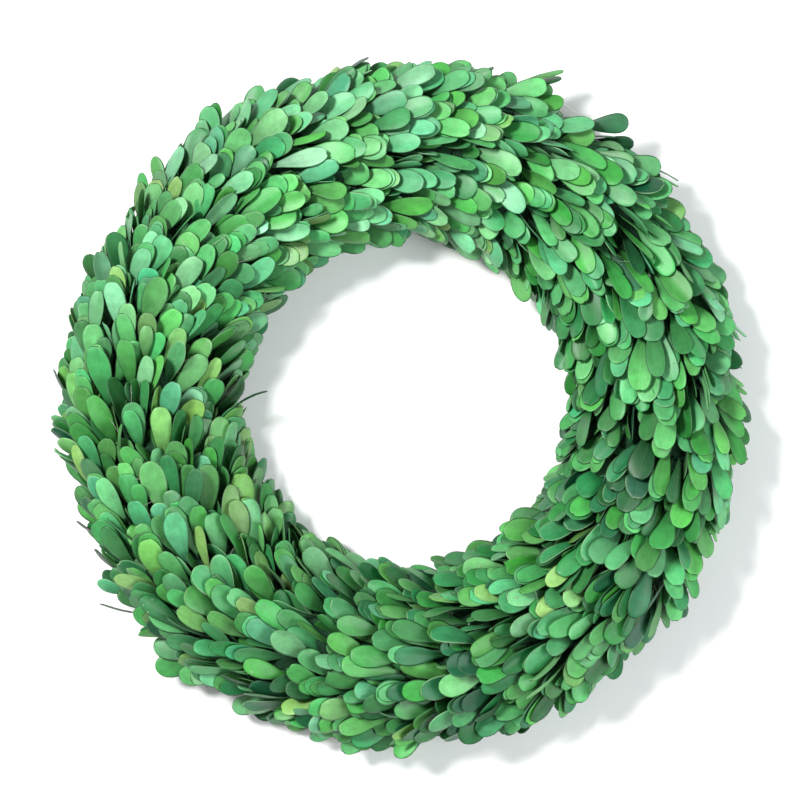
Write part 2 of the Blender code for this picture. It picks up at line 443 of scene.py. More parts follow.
def leaf_relief(tree, leaf):
    """Side veins that slant from a sunken midrib, under the fine grain of the wax."""
    herringbone = add_node(
        tree, "ShaderNodeMath", {"operation": "MULTIPLY_ADD", 1: VEIN_SLANT},
        {0: leaf["across"], 2: leaf["along"]},
    )
    vein_phase = add_node(
        tree, "ShaderNodeMath", {"operation": "MULTIPLY", 1: math.tau / VEIN_SPACING},
        {0: herringbone.outputs["Value"]},
    )
    veins = add_node(
        tree, "ShaderNodeMath", {"operation": "SINE"}, {0: vein_phase.outputs["Value"]},
    )
    grain = add_node(
        tree, "ShaderNodeTexNoise", {"Scale": 1 / WAX_GRAIN, "Detail": 2.0},
        {"Vector": leaf["space"]},
    )
    vein_bump = add_node(
        tree, "ShaderNodeBump", {"Strength": 0.10, "Distance": VEIN_HEIGHT},
        {"Height": veins.outputs["Value"]},
    )
    rib_bump = add_node(
        tree, "ShaderNodeBump", {"Strength": 0.14, "Distance": MIDRIB_DEPTH, "invert": True},
        {"Height": leaf["midrib"], "Normal": vein_bump.outputs["Normal"]},
    )
    skin_bump = add_node(
        tree, "ShaderNodeBump", {"Strength": 0.12, "Distance": WAX_HEIGHT},
        {"Height": grain.outputs["Fac"], "Normal": rib_bump.outputs["Normal"]},
    )
    return skin_bump.outputs["Normal"]


print("side veins in a centimetre:", round(10 * MM / VEIN_SPACING, 1))

# %% The finished leaf material


def boxwood_leaf():
    """Waxy skin: satin where the dye sat well, duller in patches, with a thin soft coat."""
    made, tree = new_material("preserved_boxwood_leaf_dyed_satin")
    leaf = read_leaf(tree)
    colour = trimmed_skin(tree, leaf, dyed_skin(tree, leaf))
    shine = add_node(
        tree, "ShaderNodeMapRange", {"To Min": 0.44, "To Max": 0.58}, {"Value": leaf["patch"]},
    )
    shader = add_node(
        tree, "ShaderNodeBsdfPrincipled",
        {"IOR": 1.45, "Coat Weight": 0.16, "Coat Roughness": 0.40, "Coat IOR": 1.45},
        {
            "Base Color": colour,
            "Roughness": shine.outputs["Result"],
            "Normal": leaf_relief(tree, leaf),
        },
    )
    add_node(tree, "ShaderNodeOutputMaterial", links={"Surface": shader.outputs["BSDF"]})
    return made


leaf_material = boxwood_leaf()
print("leaf material:", len(leaf_material.node_tree.nodes), "nodes")

# %% [markdown]
# ## One leaf
# A boxwood leaf is spoon-shaped: a narrow base, the widest place three quarters of the way up,
# and a round tip. It is built as two layers of one grid, a top and a back, that share their rim, so
# that it is a closed blade with a soft edge. Cup, arch and twist bend the grid. Doing this with
# arrays makes thousands of leaves in a moment, which a modifier on each leaf could not.

# %% Leaf grid
LEAF_THICKNESS = 0.42 * MM
STATIONS = np.array((0.0, 0.14, 0.30, 0.46, 0.60, 0.72, 0.81, 0.88, 0.935, 0.977, 1.0))
ACROSS = np.array((-1.0, -0.86, -0.45, 0.0, 0.45, 0.86, 1.0))
WIDEST = 0.76
BASE_WIDTH = 0.12
BASE_TAPER = 1.8
TIP_WIDTH = 0.33
TIP_BLUNTNESS = 2.05
TIP_REACH = (1 - TIP_WIDTH**TIP_BLUNTNESS) ** (1 / TIP_BLUNTNESS)
TIP_LENGTH = (1 - WIDEST) / TIP_REACH
TIP_ROUND = TIP_LENGTH * (1 - TIP_REACH)
EDGE_WAVE = 0.035
EDGE_WAVES = 8
RIPPLES = 9
SWAY_FROM = 0.3
NOTCH_FROM = 0.9
NOTCH_RISE = 10
LEAF_TRAITS = (
    "length", "width", "cup", "arch", "twist", "sway", "fold", "uneven", "ripple", "phase", "notch",
)


def leaf_outline(t):
    """Half width of the leaf at t from base to tip, as a share of its greatest half width."""
    climb = np.sin(np.clip(t / WIDEST, 0, 1) * math.pi / 2)
    rising = BASE_WIDTH + (1 - BASE_WIDTH) * climb**BASE_TAPER
    beyond = np.clip((t - WIDEST) / TIP_LENGTH, 0.0, 1.0)
    return np.where(t < WIDEST, rising, (1 - beyond**TIP_BLUNTNESS) ** (1 / TIP_BLUNTNESS))


def leaf_points(stations, across, leaves):
    """Middle-layer points of every leaf, as an array of leaf, station, across, xyz."""
    t = stations[None, :, None]
    u = across[None, None, :]
    length, width, cup, arch, twist, sway, fold, uneven, ripple, phase, notch = (
        np.array([leaf[key] for leaf in leaves])[:, None, None] for key in LEAF_TRAITS
    )
    outline = leaf_outline(t) * (1 + EDGE_WAVE * np.sin(EDGE_WAVES * t + phase))
    x = (u + uneven * (1 - u**2)) * outline * width / 2 + sway * (t - SWAY_FROM) ** 2
    y = (t - 0.5 - TIP_ROUND * u**2 * np.clip((t - 0.5) * 2, 0, 1)) * length
    near_tip = np.clip((t - NOTCH_FROM) * NOTCH_RISE, 0, 1)
    y = y - notch * np.clip(1 - np.abs(u) * 2, 0, 1) * near_tip
    z = arch * (1 - (2 * t - 1) ** 2) - (cup * u**2 + fold * np.abs(u)) * outline
    z = z + ripple * np.sin(RIPPLES * t + 2 * phase) * np.abs(u) * outline
    angle = twist * (t - 0.5)
    turned_x = x * np.cos(angle) - z * np.sin(angle)
    turned_z = x * np.sin(angle) + z * np.cos(angle)
    local = np.stack(np.broadcast_arrays(turned_x, y, turned_z), axis=-1)
    axes = np.array([leaf["axes"] for leaf in leaves])
    middles = np.array([leaf["middle"] for leaf in leaves])
    return np.einsum("lstk,lkj->lstj", local, axes) + middles[:, None, None, :]


def grid_faces(rows, cols):
    """The quads of a grid of points that is numbered row by row."""
    faces = []
    for i in range(rows - 1):
        for j in range(cols - 1):
            a = i * cols + j
            faces.append((a, a + 1, a + cols + 1, a + cols))
    return np.array(faces)


leaf_quads = grid_faces(len(STATIONS), len(ACROSS))
print("quads on one face of a leaf:", len(leaf_quads))

# %% [markdown]
# ## Where the leaves stand
# The maker works in stacks of one to four leaves, pressed together like a hand of cards, and
# sets stack after stack like shingles. Seen from the front the tips turn outward at the outer
# edge and inward at the hole, mostly because each leaf also lifts off the ring. What all leaves
# at one place of the section share, their lift and their tilt, is worked out by functions.

# %% How leaves lie round the section
MIDDLE_LIFT = 11.2 * MM
LUMPS = 3.3 * MM
LUMP_SIZE = 45 * MM
OUTER_SINK = 2.4 * MM
HOLE_SINK = 4.3 * MM
HOLE_SHIFT = 2.4 * MM
HOLE_TURN = math.radians(50)
TILT_OUTSIDE = math.radians(25)
TILT_INSIDE = math.radians(33)
FACE_UP_OUTSIDE = 0.55
FACE_UP_INSIDE = 0.38


def tilt_at(section):
    """How steeply leaves lift off the ring, in radians."""
    inner = min(max((section - math.pi / 2) / (math.pi / 2), 0.0), 1.0)
    return TILT_OUTSIDE + (TILT_INSIDE - TILT_OUTSIDE) * inner


def face_up_at(section):
    """How far leaves at the edges turn their faces up, since they are shingled from the front."""
    share = FACE_UP_OUTSIDE if section < math.pi / 2 else FACE_UP_INSIDE
    return share * abs(math.cos(section))


def lift_at(turn, section, pose, deeper, calm):
    """How high above the straw a leaf of a stack with this pose has its middle."""
    here = Vector((RING_RADIUS * turn, STRAW_HALF_WIDTH * section, 0)) / LUMP_SIZE
    lift = MIDDLE_LIFT + LUMPS * noise.noise(here) + pose["lift"] * calm - deeper
    outer = max(math.cos(section), 0.0)
    inner = max(-math.cos(section), 0.0)
    hole_sink = HOLE_SINK + HOLE_SHIFT * math.cos(turn - HOLE_TURN)
    lift -= OUTER_SINK * outer + hole_sink * inner
    return lift + pose["stand_out"] * calm * outer


print("tilt at the outer edge and at the hole in degrees:",
      round(math.degrees(tilt_at(0.0))), round(math.degrees(tilt_at(math.pi))))

# %% [markdown]
# ## No two stacks alike
# Each stack turns, tilts, rolls and bends in its own way. Two in five are rolled far over, more
# than half lie hollow like spoons, and at the edges some stand up as spikes. The numbers are
# drawn from a generator with a fixed seed, so that every run gives the same wreath.

# %% How one stack is drawn
# Angles in ranges are in degrees. Cup, fold and arch are a mean and a spread in mm.
draw = random.Random(2024)
SPLAY_SPREAD = math.radians(11)
FAN_SPREAD = math.radians(5)
TILT_SPREAD = math.radians(6.5)
ROLLED_SHARE = 0.40
ROLLED = (24, 78)
ROLL_SPREAD = math.radians(11)
LIFT_SPREAD = 1.3 * MM
PROUD_SHARE = 0.04
PROUD_LIFT = 3 * MM
HOLLOW_SHARE = 0.6
HOLLOW_CUP = (-0.9, 0.45)
DOMED_CUP = (0.6, 0.4)
FOLDED_SHARE = 0.25
FOLD = (0.2, 0.8)
ARCH = (1.2, 0.9)
TWIST_SPREAD = math.radians(11)
FACING = (0.35, 1.25)
OUTER_RAGGED = 2.4 * MM
SPIKE_SHARE = 0.36
SPIKE_TILT = (8, 36)


def either_side(degrees):
    """An angle from this range, to the left or to the right."""
    return draw.choice((-1, 1)) * math.radians(draw.uniform(*degrees))


def draw_stack_pose():
    """How one stack of leaves turns, tilts, rolls and bends, the same for all its leaves."""
    rolled = draw.random() < ROLLED_SHARE
    hollow = draw.random() < HOLLOW_SHARE
    return {
        "splay": draw.gauss(0, SPLAY_SPREAD),
        "fan": draw.gauss(0, FAN_SPREAD),
        "tilt": draw.gauss(0, TILT_SPREAD),
        "roll": either_side(ROLLED) if rolled else draw.gauss(0, ROLL_SPREAD),
        "lift": draw.gauss(0, LIFT_SPREAD) + (draw.random() < PROUD_SHARE) * PROUD_LIFT,
        "cup": draw.gauss(*(HOLLOW_CUP if hollow else DOMED_CUP)) * MM,
        "fold": (draw.random() < FOLDED_SHARE) * draw.gauss(*FOLD) * MM,
        "arch": draw.gauss(*ARCH) * MM,
        "twist": draw.gauss(0, TWIST_SPREAD),
        "facing": draw.uniform(*FACING),
        "stand_out": min(draw.gauss(OUTER_RAGGED / -4, OUTER_RAGGED), OUTER_RAGGED),
        "spike": (draw.random() < SPIKE_SHARE) * math.radians(draw.uniform(*SPIKE_TILT)),
    }


print("stacks rolled over and spiky, in percent:", round(100 * ROLLED_SHARE), round(100 * SPIKE_SHARE))

# %% One leaf of a stack
LEAF_LENGTH = (27 * MM, 37 * MM)
LEAF_WIDTH = (9.3 * MM, 13.6 * MM)
STACK_STEP = (2.2 * MM, 6.5 * MM)
CREST_SPLAY = math.radians(7)
HOLE_SPIKES = 0.6
LEAF_FAN = math.radians(2.5)
LEAF_ROLL = math.radians(2)
SWAY_SPREAD = 1.8 * MM
UNEVEN_SPREAD = 0.07
RIPPLE = 0.35
NOTCHED_SHARE = 0.35
NOTCH = (0.2, 0.7)


def set_leaf(turn, section, pose, back, deeper, calm):
    """One leaf, so far behind and below its stack's first. calm below 1 tames the pose."""
    lift = lift_at(turn, section, pose, deeper, calm)
    along, outward = ring_axes(turn, section, lift)
    normal = outward.lerp(UP, face_up_at(section) * pose["facing"]).normalized()
    across = normal.cross(along)
    splay = CREST_SPLAY * math.sin(max(section, 0.0)) + pose["splay"] * calm
    splay += pose["fan"] * back / STACK_STEP[1] + draw.gauss(0, LEAF_FAN)
    tilt = tilt_at(section) + pose["tilt"] * calm
    spiky = 1.0 if section < math.pi / 2 else HOLE_SPIKES
    tilt += pose["spike"] * spiky * calm * math.cos(section) ** 2
    roll = pose["roll"] * calm + draw.gauss(0, LEAF_ROLL)
    flat = along * math.cos(splay) - across * math.sin(splay)
    heading = flat * math.cos(tilt) + outward * math.sin(tilt)
    heading.normalize()
    level = heading.cross(normal).normalized()
    rise = level.cross(heading)
    side = level * math.cos(roll) + rise * math.sin(roll)
    face = rise * math.cos(roll) - level * math.sin(roll)
    middle = ring_point(turn, section, lift) - flat * back
    return {
        "turn": turn,
        "section": section,
        "middle": tuple(middle),
        "axes": (tuple(side), tuple(heading), tuple(face)),
        "length": draw.uniform(*LEAF_LENGTH),
        "width": draw.uniform(*LEAF_WIDTH),
        "cup": pose["cup"],
        "arch": pose["arch"],
        "twist": pose["twist"],
        "fold": pose["fold"],
        "sway": draw.gauss(0, SWAY_SPREAD),
        "uneven": draw.gauss(0, UNEVEN_SPREAD),
        "ripple": draw.uniform(0, RIPPLE) * MM,
        "phase": draw.uniform(0, math.tau),
        "notch": (draw.random() < NOTCHED_SHARE) * draw.uniform(*NOTCH) * MM,
    }


print("leaves in mm, longest and widest:", round(LEAF_LENGTH[1] / MM), round(LEAF_WIDTH[1] / MM, 1))

# %% [markdown]
# ## Keeping leaves apart
# Real leaves press against each other but never pass through. So each new leaf is tested, as a
# coarse grid of a few quads, against the leaves that stand near it. A search tree for each leaf
# makes the test fast, and a map of square cells finds its neighbours. A physics simulation would
# settle them too, but takes far longer for thousands of leaves.

# %% Leaves that stand clear
LOWEST_POINT = 0.8 * MM
HIGHEST_POINT = cad_high.z + 1.2 * MM
NARROWEST_HOLE = 74 * MM
CELL = 26 * MM
LEAF_REACH = 34 * MM
PROXY_STATIONS = np.array((0.0, 0.3, 0.55, 0.78, 0.91, 1.0))
PROXY_ACROSS = np.array((-1.0, 0.0, 1.0))
proxy_faces = grid_faces(len(PROXY_STATIONS), len(PROXY_ACROSS)).tolist()
standing = {}


def cells_near(point, reach):
    """The map's cells up to this many cells away from a point."""
    x, y = int(point[0] // CELL), int(point[1] // CELL)
    return [(x + i, y + j) for i in range(-reach, reach + 1) for j in range(-reach, reach + 1)]


def stands_clear(leaf):
    """True, and the leaf is noted as standing, if it touches no leaf that stands already."""
    points = leaf_points(PROXY_STATIONS, PROXY_ACROSS, [leaf])[0].reshape(-1, 3)
    radii = np.hypot(points[:, 0], points[:, 1])
    if points[:, 2].min() < LOWEST_POINT or points[:, 2].max() > HIGHEST_POINT:
        return False
    if radii.min() < NARROWEST_HOLE and "dye" not in leaf:
        return False
    middle = Vector(leaf["middle"])
    tree = BVHTree.FromPolygons(points.tolist(), proxy_faces)
    for cell in cells_near(middle, 1):
        for other_middle, other_tree in standing.get(cell, ()):
            if (other_middle - middle).length < LEAF_REACH and tree.overlap(other_tree):
                return False
    standing.setdefault(cells_near(middle, 0)[0], []).append((middle, tree))
    return True


print("quads in the coarse leaf:", len(proxy_faces))

# %% [markdown]
# ## Leaves that stand out
# In the photo some leaf tips leave the outline or cross the edge of the hole, where the eye
# follows them, and many of them stand on edge and look almost black. They are set first, each
# between the pixels of its tip and its base, and all others grow round them. A stray leaf has
# its own dye, as a hue and a depth, where others draw theirs. The almost black ones get the
# darkest green at the lowest depth, their own dark dye and painted shade together.

# %% Where the photo shows them
MID_GREEN = (0.36, 0.5)
PALE_GREEN = (0.66, 0.7)
DARK_GREEN = (0.12, 0.3)
# The darkest dye: a leaf's own dark green and painted shade, for leaves on edge in deep shade.
DARKEST_DYE_AND_PAINTED_SHADE = (0.0, 0.0)
# Tip and base in pixels, height in mm, roll in degrees, width in mm, dye, and an arch in mm.
STRAYS = {
    "past the top right": (
        ((629, 122), (576, 127), 34, -12, 10.8, DARK_GREEN),
        ((547, 85), (492, 96), 36, -4, 11, PALE_GREEN),
        ((564, 71), (518, 84), 31, 64, 9, MID_GREEN),
        ((562, 78), (515, 90), 27, 58, 9, DARK_GREEN),
        ((553, 89), (506, 101), 24, -20, 9, MID_GREEN),
        ((564, 101), (515, 110), 32, 30, 11, MID_GREEN),
        ((634, 144), (585, 140), 26, -35, 9, DARKEST_DYE_AND_PAINTED_SHADE),
        ((616, 137), (570, 138), 31, 78, 8, DARK_GREEN),
        ((661, 169), (608, 158), 34, -8, 11.5, MID_GREEN),
        ((679, 181), (632, 160), 28, 80, 8, DARK_GREEN),
        ((679, 187), (634, 168), 24, 76, 8, MID_GREEN),
        ((670, 190), (620, 178), 22, -20, 9, DARKEST_DYE_AND_PAINTED_SHADE),
    ),
    "past the right": (
        ((725, 303), (694, 262), 27, -24, 10, DARK_GREEN),
        ((747, 337), (706, 308), 27, 74, 8, PALE_GREEN),
        ((741, 341), (702, 306), 22, 80, 8, MID_GREEN),
        ((750, 422), (718, 380), 22, 40, 10, DARK_GREEN),
    ),
    "past the bottom": (
        ((518, 733), (548, 692), 17, -52, 10, DARK_GREEN),
        ((155, 666), (215, 664), 17, 8, 12.8, MID_GREEN),
        ((184, 652), (232, 646), 22, -30, 10, DARK_GREEN),
    ),
    "past the left": (
        ((99, 604), (156, 616), 22, 78, 9, DARKEST_DYE_AND_PAINTED_SHADE),
        ((97, 582), (140, 596), 25, 40, 9, PALE_GREEN),
        ((53, 369), (80, 414), 29, 76, 10, DARKEST_DYE_AND_PAINTED_SHADE),
        ((54, 448), (94, 484), 24, 74, 9, MID_GREEN),
    ),
    "into the hole": (
        ((268, 391), (224, 421), 32, 82, 8, DARKEST_DYE_AND_PAINTED_SHADE, 3.5),
    ),
    "past the top left": (
        ((298, 80), (262, 112), 26, -30, 11, DARK_GREEN),
        ((313, 74), (288, 100), 28, 76, 9, DARKEST_DYE_AND_PAINTED_SHADE),
        ((369, 57), (338, 78), 28, 74, 9, DARKEST_DYE_AND_PAINTED_SHADE),
        ((238, 104), (230, 132), 30, 58, 9, PALE_GREEN),
        ((192, 131), (186, 162), 26, 76, 9, DARK_GREEN),
        ((107, 239), (113, 272), 28, 76, 9, DARKEST_DYE_AND_PAINTED_SHADE),
        ((88, 254), (98, 290), 24, 32, 10, DARK_GREEN),
        ((77, 303), (92, 335), 24, 76, 9, DARKEST_DYE_AND_PAINTED_SHADE),
    ),
    "past the bottom left": (
        ((76, 521), (106, 537), 24, 76, 9, DARKEST_DYE_AND_PAINTED_SHADE),
        ((85, 532), (120, 552), 21, 12, 10, DARK_GREEN),
        ((94, 549), (126, 576), 22, 70, 9, DARKEST_DYE_AND_PAINTED_SHADE),
    ),
    "past the bottom right": (
        ((684, 618), (675, 582), 22, 40, 9, DARK_GREEN),
    ),
    "past the top": (
        ((494, 67), (466, 86), 26, 66, 8, DARK_GREEN),
    ),
}
print("stray leaves in the photo:", sum(len(rows) for rows in STRAYS.values()))

# %% Stray leaves
STRAY_RISE = 3 * MM
STRAY_CUP = 0.4 * MM
STRAY_TWIST = 0.1
STRAY_RIPPLE = 0.2 * MM
STRAY_NOTCH = 0.2 * MM


def stray_leaf(tip, base, height, roll, width, dye, arch=1.0):
    """A leaf between two pixels of the photo, turned about its length by the roll."""
    start = at_pixel(base, height * MM)
    end = at_pixel(tip, height * MM + STRAY_RISE)
    heading = (end - start).normalized()
    level = heading.cross(UP).normalized()
    rise = level.cross(heading)
    turned = math.radians(roll)
    side = level * math.cos(turned) + rise * math.sin(turned)
    face = rise * math.cos(turned) - level * math.sin(turned)
    middle = (start + end) / 2
    outward = math.hypot(middle.x, middle.y) - RING_RADIUS
    return {
        "turn": math.atan2(middle.x, middle.y) % math.tau,
        "section": math.atan2(middle.z - STRAW_WAIST, outward),
        "middle": tuple(middle),
        "axes": (tuple(side), tuple(heading), tuple(face)),
        "length": (end - start).length,
        "width": width * MM,
        "cup": STRAY_CUP,
        "arch": arch * MM,
        "twist": STRAY_TWIST,
        "fold": 0.0,
        "sway": 0.0,
        "uneven": 0.0,
        "ripple": STRAY_RIPPLE,
        "phase": tip[0] / 100,
        "notch": STRAY_NOTCH,
        "dye": dye,
    }


strays = [stray_leaf(*row) for rows in STRAYS.values() for row in rows]
print("longest stray leaf in mm:", round(max(leaf["length"] for leaf in strays) / MM, 1))

# %% [markdown]
# ## Stack after stack
# The stacks are laid on a loose grid in ring coordinates, in a random order. A drawn leaf that
# would cut through one that already stands is drawn again, each time nearer to how all leaves
# lie, and given up after a few tries.

# %% Places for the stacks
STACK_PITCH = 15.0 * MM
LANE_PITCH = 8.8 * MM
FIRST_LANE = math.radians(-22)
LAST_LANE = math.radians(202)
PLACE_JITTER = 0.38
LANE_JITTER = 0.4
section_radius = STRAW_HALF_WIDTH + MIDDLE_LIFT
lanes = int((LAST_LANE - FIRST_LANE) * section_radius / LANE_PITCH)
sites = []
for lane in range(lanes):
    section = FIRST_LANE + (LAST_LANE - FIRST_LANE) * (lane + 0.5) / lanes
    radius = RING_RADIUS + section_radius * math.cos(section)
    count = int(math.tau * radius / STACK_PITCH)
    for place in range(count):
        jitter = draw.uniform(-PLACE_JITTER, PLACE_JITTER)
        turn = math.tau * (place + (lane % 2) / 2 + jitter) / count
        shift = draw.uniform(-LANE_JITTER, LANE_JITTER) * LANE_PITCH / section_radius
        sites.append((turn, section + shift))
draw.shuffle(sites)
print("places:", len(sites), "in lanes:", lanes)

# %% Growing the stacks
LEAVES_IN_STACK = (1, 2, 2, 3, 3, 4)
NEST_GAP = 0.85 * MM
TRIES = 7
NEW_POSE_AFTER = 2


def grow_stack(turn, section, leaves):
    """Adds the leaves of one stack, each a step behind the last and a little below it."""
    pose = draw_stack_pose()
    back = 0.0
    deeper = 0.0
    for _ in range(draw.choice(LEAVES_IN_STACK)):
        for attempt in range(TRIES):
            leaf = set_leaf(turn, section, pose, back, deeper, 1 - attempt / TRIES)
            if stands_clear(leaf):
                leaves.append(leaf)
                break
            if attempt == NEW_POSE_AFTER:
                pose = draw_stack_pose()
        step = draw.uniform(*STACK_STEP)
        back += step
        deeper += step * math.tan(tilt_at(section)) - NEST_GAP


leaves = [leaf for leaf in strays if stands_clear(leaf)]
print(len(leaves), "of", len(strays), "strays placed")
for turn, section in sites:
    grow_stack(turn, section, leaves)
print(len(leaves), "leaves in", len(sites), "stacks")

# %% [markdown]
# ## Leaves in the gaps
# Between the stacks a maker pushes single leaves wherever straw still shows. Many of them stand
# on edge, and they are the dark slivers between the bright faces. They are tried at random
# places and depths, and the later tries are with smaller leaves.

# %% Single leaves in the gaps
FILL_TRIES = 22000
FILL_LIFT = 9.0 * MM
EDGE_ON_SHARE = 0.45
EDGE_ON = (58, 88)
SMALL_LEAF = (0.6, 0.9)
for attempt in range(FILL_TRIES):
    pose = draw_stack_pose()
    if draw.random() < EDGE_ON_SHARE:
        pose["roll"] = either_side(EDGE_ON)
    section = draw.uniform(FIRST_LANE, LAST_LANE)
    deeper = draw.uniform(0, FILL_LIFT)
    leaf = set_leaf(draw.uniform(0, math.tau), section, pose, 0.0, deeper, 1.0)
    if attempt > FILL_TRIES / 2:
        smaller = draw.uniform(*SMALL_LEAF)
        leaf["length"] *= smaller
        leaf["width"] *= smaller
    # How deep a leaf sits in its gap, for the painted shade that its tint gets.
    leaf["shaded"] = deeper / FILL_LIFT
    if stands_clear(leaf):
        leaves.append(leaf)
print(len(leaves), "leaves with those in the gaps")

# %% [markdown]
# ## The bunches
# Each bunch piece takes the place of one CAD bunch. A leaf belongs to the bunch over whose part
# of the ring its middle stands. The leaves of a bunch are joined into one mesh, with their tints
# and their own coordinates kept as attributes. One mesh for each of thousands of leaves would
# be slow to draw and to export.

# %% Which bunch a leaf belongs to
SECTORS = 16
SECTOR = math.tau / SECTORS
# First and last section of each band in degrees, and how many sectors it is turned by.
BANDS = {"outer": (-30, 45, 0.0), "front": (45, 135, 0.5), "inner": (135, 210, 0.0)}


def owner_of(leaf):
    """The CAD bunch over which this leaf stands."""
    section = math.degrees(leaf["section"])
    inward = "inner" if section >= BANDS["inner"][0] else "front"
    band = "outer" if section < BANDS["outer"][1] else inward
    offset = BANDS[band][2] * SECTOR
    sector = int((leaf["turn"] - offset) % math.tau // SECTOR)
    return f"{band}_bunch_{sector % SECTORS + 1:02d}"


print("bunches that hold leaves:", len({owner_of(leaf) for leaf in leaves}))

# %% Leaf mesh from arrays
# The rim is shared by the face and the back, and half of it counts as back.
RIM_BACK = 0.5


def join_leaves(members):
    """Points, quads and attributes of all these leaves as closed blades."""
    middle = leaf_points(STATIONS, ACROSS, members)
    ds = np.gradient(middle, axis=1)
    du = np.gradient(middle, axis=2)
    normal = np.cross(du, ds)
    normal /= np.linalg.norm(normal, axis=-1, keepdims=True)
    rows, cols = len(STATIONS), len(ACROSS)
    rim = np.ones((rows, cols), bool)
    rim[1:-1, 1:-1] = False
    top = middle + normal * (LEAF_THICKNESS / 2) * (~rim)[None, :, :, None]
    under = middle - normal * (LEAF_THICKNESS / 2)
    inside = np.flatnonzero(~rim.ravel())
    per_top = rows * cols
    per_leaf = per_top + len(inside)
    index = np.arange(per_top)
    index[inside] = per_top + np.arange(len(inside))
    quads = np.concatenate([leaf_quads, index[leaf_quads][:, ::-1]])
    count = len(members)
    points = np.concatenate(
        [top.reshape(count, per_top, 3), under.reshape(count, per_top, 3)[:, inside]], axis=1
    )
    quads = (quads[None] + (np.arange(count) * per_leaf)[:, None, None]).reshape(-1, 4)
    width = np.array([m["width"] for m in members])[:, None, None]
    length = np.array([m["length"] for m in members])[:, None, None]
    x = ACROSS[None, None, :] * leaf_outline(STATIONS)[None, :, None]
    place = np.zeros((count, rows, cols, 3))
    place[..., 0] = x * width / 2
    place[..., 1] = STATIONS[None, :, None] * length
    place = place.reshape(count, per_top, 3)
    place = np.concatenate([place, place[:, inside]], axis=1)
    trim = np.zeros((count, per_leaf, 4))
    trim[:, :per_top, 0] = rim.ravel()[None]
    trim[:, :per_top, 1] = RIM_BACK * rim.ravel()[None]
    trim[:, per_top:, 1] = 1.0
    trim[..., 3] = 1.0
    tint = np.array([m["tint"] for m in members])
    tint = np.repeat(tint[:, None, :], per_leaf, axis=1)
    attributes = (place.reshape(-1, 3), trim.reshape(-1, 4), tint.reshape(-1, 4))
    return points.reshape(-1, 3), quads, attributes


print("points in one leaf:", 2 * len(STATIONS) * len(ACROSS) - 2 * (len(STATIONS) + len(ACROSS) - 2))

# %% Meshes and pieces


def mesh_from(name, points, faces, material):
    """A smooth mesh of these points and faces."""
    mesh = bpy.data.meshes.new(name)
    mesh.from_pydata(points, [], faces)
    mesh.materials.append(material)
    mesh.shade_smooth()
    return mesh


def set_attribute(mesh, name, kind, values):
    """One value a point, for a material to read."""
    field = "color" if kind == "FLOAT_COLOR" else "vector"
    layer = mesh.attributes.new(name, kind, "POINT")
    layer.data.foreach_set(field, np.ascontiguousarray(values, np.float32).ravel())


def place_piece(mesh, name, replaced=None):
    """Puts a mesh into the scene on the wreath's body, in the place of a CAD node if one is named."""
    obj = bpy.data.objects.new(name, mesh)
    bpy.context.scene.collection.objects.link(obj)
    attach(obj, "root")
    if replaced:
        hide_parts(replaced)


print("faces on one leaf:", 2 * len(leaf_quads))

# %% [markdown]
# ## A tint for each leaf
# Dye takes to every leaf differently. Each one draws a hue, a depth, a cast and a strength, which
# the leaf material reads. Hue and depth drift slowly round the ring as in the photo, and much of
# it is painted light and shade: the upper left is painted paler and mintier as if lit, the lower
# left and the hole there are painted darker as shade, with more yellow-green leaves there, and a
# leaf low in a gap gets painted shade. At the rim the depth is painted shade on the side the key
# lamp lights and painted light on the far side, which evens out what the lamp does. A depth of 0
# is the darkest and 1 the lightest.

# %% Give each leaf its tint
# Painted light: leaves toward the upper left are painted paler, mintier and more varied, as if lit.
PAINTED_LIGHT_TURN = math.radians(337)
